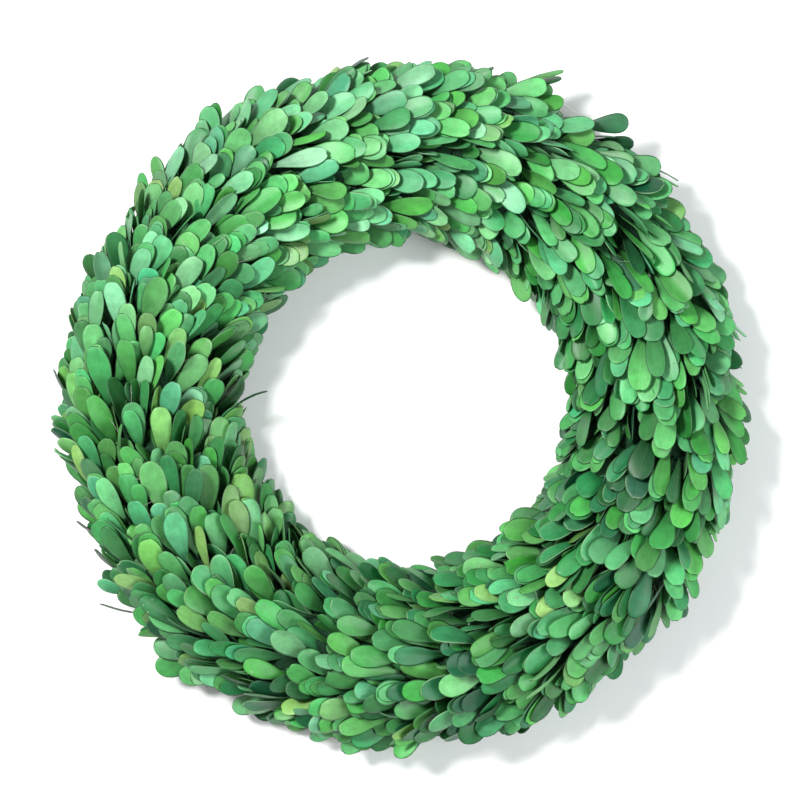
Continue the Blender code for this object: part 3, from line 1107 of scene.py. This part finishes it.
# Toward the lower left there are more yellow-green leaves, and leaves there and by the hole get
# painted shade.
YELLOW_AND_SHADE_TURN = math.radians(250)
MEAN_HUE = 0.41
HUE_DRIFT = 0.20
DRIFT_SIZE = 70 * MM
PAINTED_LIGHT_HUE = 0.15
HUE_SPREAD = 0.16
MEAN_DEPTH = 0.51
PAINTED_LIGHT_DEPTH = 0.02
LOWER_LEFT_PAINTED_SHADE = 0.18
HOLE_PAINTED_SHADE = 0.15
RIM_PAINTED_LIGHT_AND_SHADE = 0.28
SHADED_DEPTH = 0.28
DEPTH_SPREAD = 0.175
PAINTED_LIGHT_SPREAD = 0.035
YELLOW_SHARE = 0.07
YELLOW_MORE = 0.06
YELLOW_BY_HOLE = 0.14
YELLOW_DEPTH = 0.42
for leaf in leaves:
    x, y, _ = leaf["middle"]
    drift = noise.noise(Vector((x, y, 0.0)) / DRIFT_SIZE)
    # Painted light: the nearer a leaf is to the upper left, the paler and mintier it is painted.
    painted_light_side = math.cos(leaf["turn"] - PAINTED_LIGHT_TURN)
    # More yellow-green leaves toward the lower left, and painted shade there and by the hole.
    yellow_and_shade_side = math.cos(leaf["turn"] - YELLOW_AND_SHADE_TURN)
    by_the_hole = max(-math.cos(leaf["section"]), 0.0) * max(yellow_and_shade_side, 0.0)
    # At the rim, painted shade on the side the key lamp lights and painted light on the far side,
    # which evens out the lamp.
    at_the_rim = max(math.cos(leaf["section"]), 0.0) * painted_light_side
    hue = MEAN_HUE + HUE_DRIFT * drift + PAINTED_LIGHT_HUE * painted_light_side + draw.gauss(0, HUE_SPREAD)
    hue = min(max(hue, 0.0), PLAIN_GREENS)
    # The depth takes painted light at the upper left and painted shade at the lower left, by the hole
    # there, at the rim and low in gaps.
    depth = MEAN_DEPTH + PAINTED_LIGHT_DEPTH * painted_light_side - LOWER_LEFT_PAINTED_SHADE * max(yellow_and_shade_side, 0.0)
    depth -= HOLE_PAINTED_SHADE * by_the_hole + RIM_PAINTED_LIGHT_AND_SHADE * at_the_rim
    # Painted shade for a leaf that sits low in a gap.
    depth -= SHADED_DEPTH * leaf.get("shaded", 0.0)
    depth = min(max(draw.gauss(depth, DEPTH_SPREAD + PAINTED_LIGHT_SPREAD * painted_light_side), 0.0), 1.0)
    if draw.random() < YELLOW_SHARE + YELLOW_MORE * yellow_and_shade_side + YELLOW_BY_HOLE * by_the_hole:
        hue = draw.uniform(PLAIN_GREENS, 1.0)
        depth = min(depth, YELLOW_DEPTH)
    if "dye" in leaf:
        hue, depth = leaf["dye"]
    leaf["tint"] = (hue, depth, draw.random(), draw.random())
print("mean hue:", round(sum(leaf["tint"][0] for leaf in leaves) / len(leaves), 2))

# %% Leaf bunches
members_of = {}
for leaf in leaves:
    members_of.setdefault(owner_of(leaf), []).append(leaf)
for node, members in sorted(members_of.items()):
    points, quads, (place, trim, tint) = join_leaves(members)
    mesh = mesh_from(node, points.tolist(), quads.tolist(), leaf_material)
    set_attribute(mesh, "leaf_place", "FLOAT_VECTOR", place)
    set_attribute(mesh, "leaf_trim", "FLOAT_COLOR", trim)
    set_attribute(mesh, "leaf_tint", "FLOAT_COLOR", tint)
    place_piece(mesh, node.replace("bunch", "leaves"), node)
quads_in_all = sum(len(o.data.polygons) for o in bpy.data.objects if "leaves" in o.name)
print("bunches:", len(members_of), "triangles:", 2 * quads_in_all)

# %% [markdown]
# ## Under the leaves
# Between the leaves the eye sees only darkness: dry glue, crowded leaf bases and the shadow
# they keep. A rough crust on the straw under each bunch stands for the glue and leaf bases, and its
# near-black colour is painted shade. It is a grid in ring coordinates, pushed up and down by
# noise, with a plain underside, closed into one solid.

# %% Crust of glue and leaf bases, painted in shade
CRUST_STEP = 2.4 * MM
CRUST_LIFT = (0.6 * MM, 5.0 * MM)
CRUST_THICKNESS = 0.8 * MM
CRUST_LUMP = 4 * MM
CRUST_GAP = 0.3 * MM
SCRAP_SIZE = 3 * MM
SCRAP_HEIGHT = 0.6 * MM
# How fast the finer lumps fade, how much finer each octave is, and how many octaves.
CRUST_FRACTAL = (0.7, 2.0, 3)


def painted_shade_crust_material():
    """Dull and nearly black-green as painted shade, with lighter green scraps of leaf."""
    made, tree = new_material("painted_shade_crust_of_glue_and_leaf_bases")
    object_space = add_node(tree, "ShaderNodeTexCoord")
    scraps = add_node(
        tree, "ShaderNodeTexNoise",
        {"Scale": 1 / SCRAP_SIZE, "Detail": 5.0, "Roughness": 0.7},
        {"Vector": object_space.outputs["Object"]},
    )
    # Near-black greens: painted shade of the gaps over glue and leaf bases, with lighter scraps of
    # leaf.
    colour = set_ramp(
        add_node(tree, "ShaderNodeValToRGB", links={"Fac": scraps.outputs["Fac"]}),
        [(0.30, linear("#0E2216")), (0.55, linear("#183823")), (0.75, linear("#2B5A35"))],
    )
    rough = add_node(
        tree, "ShaderNodeBump", {"Strength": 0.6, "Distance": SCRAP_HEIGHT},
        {"Height": scraps.outputs["Fac"]},
    )
    shader = add_node(
        tree, "ShaderNodeBsdfPrincipled", {"Roughness": 0.95, "IOR": 1.3},
        {"Base Color": colour.outputs["Color"], "Normal": rough.outputs["Normal"]},
    )
    add_node(tree, "ShaderNodeOutputMaterial", links={"Surface": shader.outputs["BSDF"]})
    return made


def closed_patch(lower, upper):
    """Points and faces of a solid between two grids of points that have the same shape."""
    rows, cols = len(lower), len(lower[0])
    points = [p for row in lower for p in row] + [p for row in upper for p in row]
    above = rows * cols
    faces = []
    for a, b, c, d in grid_faces(rows, cols).tolist():
        faces.append((d, c, b, a))
        faces.append((above + a, above + b, above + c, above + d))
    edge = list(range(cols))
    edge += [i * cols + cols - 1 for i in range(1, rows)]
    edge += [(rows - 1) * cols + j for j in range(cols - 2, -1, -1)]
    edge += [i * cols for i in range(rows - 2, 0, -1)]
    for a, b in zip(edge, edge[1:] + edge[:1]):
        faces.append((a, b, above + b, above + a))
    return points, faces


def crust(band, sector):
    """Points and faces of the crust under one bunch."""
    first, last, offset = BANDS[band]
    trim_section = CRUST_GAP / STRAW_HALF_WIDTH
    trim_turn = CRUST_GAP / RING_RADIUS
    sections = (math.radians(first) + trim_section, math.radians(last) - trim_section)
    turns = ((sector + offset) * SECTOR + trim_turn, (sector + offset + 1) * SECTOR - trim_turn)
    rows = int((sections[1] - sections[0]) * STRAW_HALF_WIDTH / CRUST_STEP) + 1
    cols = int((turns[1] - turns[0]) * RING_RADIUS / CRUST_STEP) + 1
    lower, upper = [], []
    for i in range(rows):
        section = sections[0] + (sections[1] - sections[0]) * i / (rows - 1)
        lower.append([])
        upper.append([])
        for j in range(cols):
            turn = turns[0] + (turns[1] - turns[0]) * j / (cols - 1)
            low_point = ring_point(turn, section, CRUST_LIFT[0])
            lumps = 0.5 + 0.5 * noise.fractal(low_point / CRUST_LUMP, *CRUST_FRACTAL)
            lumps = min(max(lumps, 0), 1)
            lift = CRUST_LIFT[0] + CRUST_THICKNESS + (CRUST_LIFT[1] - CRUST_LIFT[0]) * lumps
            lower[-1].append(low_point)
            upper[-1].append(ring_point(turn, section, lift))
    return closed_patch(lower, upper)


painted_shade_crust_finish = painted_shade_crust_material()
for band in BANDS:
    for sector in range(SECTORS):
        points, faces = crust(band, sector)
        node = f"{band}_bunch_{sector + 1:02d}"
        mesh = mesh_from(f"{band}_crust", points, faces, painted_shade_crust_finish)
        place_piece(mesh, node.replace("bunch", "crust"), node)

# %% [markdown]
# ## The bound straw ring
# The ring that carries it all is a thick rope of rye straw, wound with twine and pressed flat at
# the back. It shows only from behind and through chance gaps. Each straw is a thin tube that
# follows the ring for a stretch and wanders a little across it. The twine is one long helix.
# Straws as real tubes catch light along their length as no bump map does from the side.

# %% Tubes along a path
STRAW_COUNT_ROUND = 66
STRAW_LIFT = -2.3 * MM
STRAW_RADIUS = (1.15 * MM, 1.6 * MM)
STRAW_LENGTH = (70 * MM, 150 * MM)
STRAW_SIDES = 5
STRAW_STEPS = 9
STRAW_DRIFT = 0.10
STRAW_SHIFT = 0.04
STRAW_SPACING = (0.45, 0.75)
STRAW_WAVE = 0.7 * MM
STRAW_WAVES = 5
WAVE_SHIFT = 9
CORE_LIFT = -3.6 * MM
CORE_STEPS = (96, 40)
TWINE_TURNS = 58
TWINE_RADIUS = 0.75 * MM
TWINE_LIFT = -0.75 * MM
TWINE_STEPS = 40
TWINE_SIDES = 6
# A stretch of a tube that leans less than this from the upright takes its side from the ring.
UPRIGHT = 0.2


def tube(path, radius, sides, closed=False):
    """Points and faces of a tube with this many sides that follows a list of points."""
    points, faces = [], []
    count = len(path)
    for i, here in enumerate(path):
        ahead = path[(i + 1) % count] if closed or i < count - 1 else here
        behind = path[i - 1] if closed or i > 0 else here
        run = (ahead - behind).normalized()
        side = run.cross(UP)
        if side.length < UPRIGHT:
            side = run.cross(Vector((here.x, here.y, 0)).normalized())
        side.normalize()
        rise = side.cross(run)
        for k in range(sides):
            a = math.tau * k / sides
            points.append(here + (side * math.cos(a) + rise * math.sin(a)) * radius)
    for i in range(count if closed else count - 1):
        for k in range(sides):
            a, b = i * sides + k, i * sides + (k + 1) % sides
            shift = sides * (1 if i < count - 1 else 1 - count)
            faces.append((a, a + shift, b + shift, b))
    if not closed:
        faces.append(tuple(range(sides)))
        faces.append(tuple(range((count - 1) * sides + sides - 1, (count - 1) * sides - 1, -1)))
    return points, faces


def join_tubes(tubes):
    """Many solids as one list of points and one of faces."""
    points, faces = [], []
    for tube_points, tube_faces in tubes:
        start = len(points)
        points += tube_points
        faces += [tuple(start + i for i in face) for face in tube_faces]
    return points, faces


def one_straw(turn, section):
    """A straw that starts here, follows the ring and wanders a little across it."""
    length = draw.uniform(*STRAW_LENGTH)
    radius = draw.uniform(*STRAW_RADIUS)
    drift = draw.gauss(0, STRAW_DRIFT)
    path = []
    for i in range(STRAW_STEPS):
        share = i / (STRAW_STEPS - 1)
        at = section + drift * share
        local_radius = RING_RADIUS + STRAW_HALF_WIDTH * math.cos(at)
        wave = math.sin(share * STRAW_WAVES + section * WAVE_SHIFT)
        lift = STRAW_LIFT + STRAW_WAVE * wave
        path.append(ring_point(turn + share * length / local_radius, at, lift))
    return tube(path, radius, STRAW_SIDES)


print("points on the twine's path:", TWINE_TURNS * TWINE_STEPS)

# %% Straw and twine materials
# Streaks of colour on a straw are hair-fine. They are drawn a sixtieth of a metre long, and each
# tube reads its own part of the noise.
STREAKS_PER_METRE = 60
NEXT_TUBE = 7.3


def fibre_material(name, stops, relief, roughness):
    """A dry plant fibre, with soft streaks of its colours that differ from tube to tube."""
    made, tree = new_material(name)
    tint = add_node(tree, "ShaderNodeAttribute", {"attribute_name": "fibre"})
    streak = add_node(
        tree, "ShaderNodeTexNoise",
        {"Scale": 1.0, "Detail": 4.0, "Roughness": 0.6},
        {"Vector": tint.outputs["Vector"]},
    )
    colour = set_ramp(
        add_node(tree, "ShaderNodeValToRGB", links={"Fac": streak.outputs["Fac"]}), stops,
    )
    ribs = add_node(
        tree, "ShaderNodeBump", {"Strength": 0.4, "Distance": relief},
        {"Height": streak.outputs["Fac"]},
    )
    shader = add_node(
        tree, "ShaderNodeBsdfPrincipled", {"Roughness": roughness, "IOR": 1.5},
        {"Base Color": colour.outputs["Color"], "Normal": ribs.outputs["Normal"]},
    )
    add_node(tree, "ShaderNodeOutputMaterial", links={"Surface": shader.outputs["BSDF"]})
    return made


# Ripe straw keeps a thin glossy skin, so it catches the light along its length.
straw_finish = fibre_material(
    "dry_rye_straw_glossy_skin",
    [(0.30, linear("#8A6A34")), (0.50, linear("#C29B55")), (0.70, linear("#DCC07C"))],
    0.3 * MM, 0.42,
)
# Twine of jute has no skin and many loose hairs, so it stays dull.
twine_finish = fibre_material(
    "brown_jute_twine_hairy_matt",
    [(0.30, linear("#5B3F22")), (0.60, linear("#8B6840"))],
    0.4 * MM, 0.85,
)


def add_fibre(mesh, per_tube):
    """Coordinates for the streaks: slow along a tube, far apart from one tube to the next."""
    count = len(mesh.vertices)
    flat = np.zeros(count * 3)
    mesh.vertices.foreach_get("co", flat)
    values = flat.reshape(-1, 3) * STREAKS_PER_METRE
    values[:, 2] += (np.arange(count) // per_tube) * NEXT_TUBE
    set_attribute(mesh, "fibre", "FLOAT_VECTOR", values)


print("materials so far:", [made.name for made in (leaf_material, straw_finish, twine_finish)])

# %% Straw ring
straws = []
for k in range(STRAW_COUNT_ROUND):
    section = math.tau * k / STRAW_COUNT_ROUND
    turn = draw.uniform(0, math.tau)
    end = turn + math.tau
    while turn < end:
        straws.append(one_straw(turn, section + draw.uniform(-STRAW_SHIFT, STRAW_SHIFT)))
        turn += draw.uniform(*STRAW_SPACING) * STRAW_LENGTH[1] / RING_RADIUS
core_points = []
core_faces = []
rings, sides = CORE_STEPS
for i in range(rings):
    here, ahead = i * sides, (i + 1) % rings * sides
    for j in range(sides):
        following = (j + 1) % sides
        core_points.append(ring_point(math.tau * i / rings, math.tau * j / sides, CORE_LIFT))
        core_faces.append((here + j, here + following, ahead + following, ahead + j))
straw_points, straw_faces = join_tubes(straws + [(core_points, core_faces)])
straw_mesh = mesh_from("bound_straw", straw_points, straw_faces, straw_finish)
add_fibre(straw_mesh, STRAW_STEPS * STRAW_SIDES)
place_piece(straw_mesh, "bound_straw", "straw_ring")
print("straws:", len(straws))

# %% Binding twine
# So many steps of the twine share one part of the streaks' noise.
TWINE_STRETCH = 3
twine_path = []
for i in range(TWINE_TURNS * TWINE_STEPS):
    share = i / (TWINE_TURNS * TWINE_STEPS)
    twine_path.append(ring_point(math.tau * share, math.tau * share * TWINE_TURNS, TWINE_LIFT))
twine_points, twine_faces = tube(twine_path, TWINE_RADIUS, TWINE_SIDES, closed=True)
twine_mesh = mesh_from("binding_twine", twine_points, twine_faces, twine_finish)
add_fibre(twine_mesh, TWINE_SIDES * TWINE_STRETCH)
place_piece(twine_mesh, "binding_twine")
print("turns of twine:", TWINE_TURNS)

# %% [markdown]
# ## Hot glue
# Each leaf is held by a dab of hot glue at its base, and the gun draws fine strings as it is
# lifted. Most of it is hidden. A few beads glint in the gaps, small flecks sit on the faces of
# leaves, and fine strings lie from leaf to leaf, three of them near the outline at the top. The
# glue is clear and slightly milky, so light passes through it.

# %% Glue material
GLUE_CLOUD = 0.8 * MM


def glue_material():
    """Milky and smooth, with clouds in it: a soft glint on a pale blob."""
    made, tree = new_material("hot_melt_glue_milky_clear")
    object_space = add_node(tree, "ShaderNodeTexCoord")
    cloud = add_node(
        tree, "ShaderNodeTexNoise", {"Scale": 1 / GLUE_CLOUD, "Detail": 2.0},
        {"Vector": object_space.outputs["Object"]},
    )
    tone = set_ramp(
        add_node(tree, "ShaderNodeValToRGB", links={"Fac": cloud.outputs["Fac"]}),
        [(0.3, linear("#C9D2BC")), (0.7, linear("#EEF1E6"))],
    )
    shader = add_node(
        tree, "ShaderNodeBsdfPrincipled",
        {"Roughness": 0.22, "IOR": 1.48, "Transmission Weight": 0.6},
        {"Base Color": tone.outputs["Color"]},
    )
    add_node(tree, "ShaderNodeOutputMaterial", links={"Surface": shader.outputs["BSDF"]})
    return made


glue_finish = glue_material()
print("glue material:", glue_finish.name)

# %% Beads of glue
BEAD_SHARE = 0.22
BEAD_SIZE = (0.5 * MM, 1.4 * MM)
BEAD_PLACE = (0.34, 0.48)
BEAD_FLATNESS = (0.5, 0.8)
BEAD_WIDTH = 0.8
BEAD_LENGTH = 1.3
BEAD_ROWS = 5
BEAD_SIDES = 8


def bead(middle, size, flatness, axes):
    """A small rounded blob of glue, longer along the leaf than it is high."""
    side, heading, face = (Vector(axis) for axis in axes)
    points = [middle - face * size * flatness]
    faces = []
    for i in range(1, BEAD_ROWS):
        polar = math.pi * i / BEAD_ROWS
        for k in range(BEAD_SIDES):
            a = math.tau * k / BEAD_SIDES
            ring = side * math.cos(a) * BEAD_WIDTH + heading * math.sin(a) * BEAD_LENGTH
            height = -math.cos(polar) * flatness
            points.append(middle + (ring * math.sin(polar) + face * height) * size)
    points.append(middle + face * size * flatness)
    last = len(points) - 1
    for k in range(BEAD_SIDES):
        following = (k + 1) % BEAD_SIDES
        faces.append((0, 1 + following, 1 + k))
        for i in range(BEAD_ROWS - 2):
            a, b = 1 + i * BEAD_SIDES + k, 1 + i * BEAD_SIDES + following
            faces.append((a, b, b + BEAD_SIDES, a + BEAD_SIDES))
        top = 1 + (BEAD_ROWS - 2) * BEAD_SIDES
        faces.append((last, top + k, top + following))
    return points, faces


beads = []
for leaf in leaves:
    if draw.random() > BEAD_SHARE:
        continue
    heading = Vector(leaf["axes"][1])
    base = Vector(leaf["middle"]) - heading * leaf["length"] * draw.uniform(*BEAD_PLACE)
    size = draw.uniform(*BEAD_SIZE)
    if base.z > size + LOWEST_POINT:
        beads.append(bead(base, size, draw.uniform(*BEAD_FLATNESS), leaf["axes"]))
print("beads under the leaves:", len(beads))

# %% Flecks on the leaves
# Each fleck is the pixel where the photo shows it.
FLECKS = (
    (283, 533), (480, 566), (517, 598), (252, 672), (293, 660),
    (118, 577), (143, 605), (152, 600), (148, 612),
)
FLECK_SIZE = (0.35 * MM, 0.6 * MM)
FLECK_FLATNESS = 0.6


def leaf_under(pixel):
    """Where the line of sight through this pixel meets a leaf, and its face there, or None."""
    ray = (at_pixel(pixel, 0.0) - CAMERA_PLACE).normalized()
    hits = [tree.ray_cast(CAMERA_PLACE, ray) for cell in standing.values() for _, tree in cell]
    hits = [(distance, spot, face) for spot, face, _, distance in hits if spot is not None]
    if not hits:
        return None
    _, spot, face = min(hits, key=lambda hit: hit[0])
    return spot, face if face.z > 0 else -face


for pixel in FLECKS:
    found = leaf_under(pixel)
    if found is None:
        continue
    spot, face = found
    side = face.cross(UP).normalized()
    size = draw.uniform(*FLECK_SIZE)
    axes = (side, face.cross(side), face)
    beads.append(bead(spot + face * LEAF_THICKNESS, size, FLECK_FLATNESS, axes))
glue_points, glue_faces = join_tubes(beads)
place_piece(mesh_from("glue_beads", glue_points, glue_faces, glue_finish), "glue_beads")
print("beads and flecks of glue:", len(beads))

# %% Strings of glue
# A real string is as thin as a hair. It is drawn about twice as thick, so that it just shows.
STRING_RADIUS = 0.09 * MM
STRING_SIDES = 5
STRING_STEPS = 12
STRING_COUNT = 22
STRING_BAND = (200, 300)
STRING_REACH = (8, 26)
STRING_LIFT = 0.5 * MM
STRING_SAG = 1
# Strings that the photo shows: each end as its pixel and its height in mm, and the sag in mm.
SEEN_STRINGS = (
    ((563, 103), 36, (577, 113), 38, 0.4),
    ((576, 112), 38, (601, 118), 37, 1.5),
    ((430, 62), 30, (441, 75), 36, 0.5),
)


def glue_string(start, end, sag):
    """A thin thread between two points that hangs through by the sag."""
    path = []
    for i in range(STRING_STEPS + 1):
        share = i / STRING_STEPS
        drop = Vector((0, 0, -sag * 4 * share * (1 - share)))
        path.append(start.lerp(end, share) + drop)
    return tube(path, STRING_RADIUS, STRING_SIDES)


def draped_string():
    """A fine string from one leaf to another a little way off, at a random place of the front."""
    turn = draw.uniform(0, math.tau)
    radius = draw.uniform(*STRING_BAND)
    aim = draw.uniform(0, math.tau)
    reach = draw.uniform(*STRING_REACH)
    x = OUTLINE_MIDDLE[0] + radius * math.sin(turn)
    y = OUTLINE_MIDDLE[1] - radius * math.cos(turn)
    start = leaf_under((x, y))
    end = leaf_under((x + reach * math.sin(aim), y + reach * math.cos(aim)))
    if start is None or end is None:
        return draped_string()
    lift = Vector((0, 0, STRING_LIFT))
    sag = draw.uniform(-STRING_SAG, STRING_SAG) * MM
    return glue_string(start[0] + lift, end[0] + lift, sag)


strings = [draped_string() for _ in range(STRING_COUNT)]
strings += [
    glue_string(at_pixel(start, start_height * MM), at_pixel(end, end_height * MM), sag * MM)
    for start, start_height, end, end_height, sag in SEEN_STRINGS
]
string_points, string_faces = join_tubes(strings)
place_piece(mesh_from("glue_strings", string_points, string_faces, glue_finish), "glue_strings")
print("strings of glue:", len(strings))

# %% [markdown]
# ## Floor, light and camera
# The photo looks straight down on the wreath, cut out on white. Here it lies on a plain pale
# floor. The key lamp stands to the upper left, as the bright leaves there in the photo show. A
# larger and weaker lamp fills from the right, and pale surroundings keep the gaps from going
# black.

# %% Floor
FLOOR_SIDE = 6.0
FLOOR_DROP = 0.5 * MM


def plain_floor():
    """Matt paper, off-white, without any shine."""
    made, tree = new_material("pale_matt_paper_backdrop")
    shader = add_node(
        tree, "ShaderNodeBsdfPrincipled", {"Base Color": linear("#F4F4F2"), "Roughness": 0.9},
    )
    add_node(tree, "ShaderNodeOutputMaterial", links={"Surface": shader.outputs["BSDF"]})
    return made


half = FLOOR_SIDE / 2
floor_mesh = mesh_from(
    "floor", [(-half, -half, 0), (half, -half, 0), (half, half, 0), (-half, half, 0)],
    [(0, 1, 2, 3)], plain_floor(),
)
floor = bpy.data.objects.new("floor", floor_mesh)
floor.location.z = -FLOOR_DROP
bpy.context.scene.collection.objects.link(floor)
print("floor in metres:", FLOOR_SIDE, "square")

# %% Lights
SURROUNDINGS = 0.34


def soft_lamp(name, place, size, watts, colour):
    """A round area lamp that looks at the middle of the wreath."""
    data = bpy.data.lights.new(name, "AREA")
    data.shape = "DISK"
    data.size = size
    data.energy = watts
    data.color = linear(colour)[:3]
    lamp = bpy.data.objects.new(name, data)
    lamp.location = place
    lamp.rotation_euler = (-Vector(place)).to_track_quat("-Z", "Y").to_euler()
    bpy.context.scene.collection.objects.link(lamp)
    print(name, "of", watts, "W, metres away:", round(lamp.location.length, 2))


soft_lamp("key_lamp", place=(-0.82, 0.50, 1.50), size=0.40, watts=42, colour="#FFFFFF")
soft_lamp("fill_lamp", place=(1.1, -0.30, 1.1), size=1.0, watts=18, colour="#F4FAFF")
world = bpy.data.worlds.new("studio")
world.use_nodes = True
background = world.node_tree.nodes["Background"]
background.inputs["Color"].default_value = linear("#FFFFFF")
background.inputs["Strength"].default_value = SURROUNDINGS
bpy.context.scene.world = world
bpy.context.scene.view_settings.view_transform = "Standard"

# %% Camera
NEAREST = 0.05
FARTHEST = 20
camera_data = bpy.data.cameras.new("camera")
camera_data.lens = camera_data.sensor_width * CAMERA_DISTANCE / (IMAGE_SIDE * MM_PER_PIXEL)
camera_data.clip_start = NEAREST
camera_data.clip_end = FARTHEST
camera = bpy.data.objects.new("camera", camera_data)
camera.location = CAMERA_PLACE
bpy.context.scene.collection.objects.link(camera)
bpy.context.scene.camera = camera
print("lens in mm:", round(camera_data.lens, 1))
